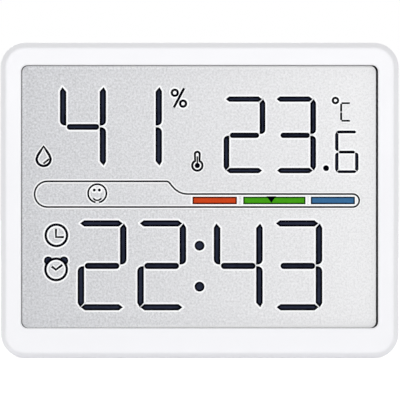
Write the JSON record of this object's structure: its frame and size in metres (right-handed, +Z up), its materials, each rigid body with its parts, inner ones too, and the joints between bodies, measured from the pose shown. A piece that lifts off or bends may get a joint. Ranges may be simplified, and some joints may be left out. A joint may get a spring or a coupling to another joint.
{
  "type": "thermometer hygrometer clock",
  "caption": "Free-standing desk clock with a wide reflective display for time, temperature and humidity, a fold-out stand, rear buttons, battery door and keyhole.",
  "frame": {"origin": "middle of the bottom face, where the clock stands on its base", "axes": "+X to the right seen from the front, +Z up, and the display faces -Y"},
  "size_m": [0.11, 0.018, 0.0872],
  "materials": {
    "case_white": "moulded white ABS, satin with fine texture",
    "lens_clear": "clear acrylic window",
    "gasket_foam": "black foam",
    "polariser_film": "clear-grey polariser film",
    "lcd_glass": "thin display glass",
    "reflector_silver": "silver reflector film",
    "bracket_white": "white carrier plastic",
    "zebra_rubber": "conductive silicone strip",
    "pcb_green": "green solder mask",
    "screw_steel": "zinc-plated steel",
    "epoxy_black": "black epoxy",
    "crystal_can": "drawn metal can",
    "ceramic_brown": "ceramic capacitor body",
    "sensor_white": "white sensor cage",
    "buzzer_brass": "brass disc with ceramic face",
    "lead_red": "red insulation",
    "lead_black": "black insulation",
    "switch_black": "black switch body under a metal cover",
    "plunger_black": "black switch plunger",
    "button_grey": "light grey moulded caps",
    "cell_jacket": "printed film jacket over a steel can",
    "contact_nickel": "nickel-plated spring steel"
  },
  "bodies": {
    "root": {"front_frame": "case_white", "rear_cover": "case_white", "display_lens": "lens_clear", "lcd_gasket": "gasket_foam", "lcd_polariser": "polariser_film", "lcd_front_glass": "lcd_glass", "lcd_rear_glass": "lcd_glass", "lcd_reflector": "reflector_silver", "lcd_bracket": "bracket_white", "zebra_strip": "zebra_rubber", "main_pcb": "pcb_green", "pcb_screws": "screw_steel", "controller_chip": "epoxy_black", "clock_crystal": "crystal_can", "capacitors": "ceramic_brown", "humidity_sensor": "sensor_white", "temperature_sensor": "epoxy_black", "buzzer_disc": "buzzer_brass", "buzzer_leads": "lead_red", "battery_lead_red": "lead_red", "battery_lead_black": "lead_black", "switch_bodies": "switch_black", "battery_upper": "cell_jacket", "battery_lower": "cell_jacket", "contact_positive": "contact_nickel", "contact_negative": "contact_nickel", "contact_bridge": "contact_nickel"},
    "stand": {"kickstand": "case_white"},
    "door": {"battery_door": "case_white"},
    "key_mode": {"button_mode": "button_grey", "switch_plunger_mode": "plunger_black"},
    "key_up": {"button_up": "button_grey", "switch_plunger_up": "plunger_black"},
    "key_down": {"button_down": "button_grey", "switch_plunger_down": "plunger_black"},
    "key_unit": {"button_unit": "button_grey", "switch_plunger_unit": "plunger_black"}
  },
  "joints": [
    {"name": "stand_hinge", "type": "hinge", "parent": "root", "child": "stand", "pos_m": [0, 0.0076, 0.0397], "axis": [1, 0, 0], "range_deg": [0, 45]},
    {"name": "door_tilt", "type": "hinge", "parent": "root", "child": "door", "pos_m": [0, 0.009, 0.0717], "axis": [1, 0, 0], "range_deg": [0, 30]},
    {"name": "press_mode", "type": "slide", "parent": "root", "child": "key_mode", "axis": [0, -1, 0], "range_m": [0, 0.0003], "stiffness_N_per_m": 400},
    {"name": "press_up", "type": "slide", "parent": "root", "child": "key_up", "axis": [0, -1, 0], "range_m": [0, 0.0003], "stiffness_N_per_m": 400},
    {"name": "press_down", "type": "slide", "parent": "root", "child": "key_down", "axis": [0, -1, 0], "range_m": [0, 0.0003], "stiffness_N_per_m": 400},
    {"name": "press_unit", "type": "slide", "parent": "root", "child": "key_unit", "axis": [0, -1, 0], "range_m": [0, 0.0003], "stiffness_N_per_m": 400}
  ]
}
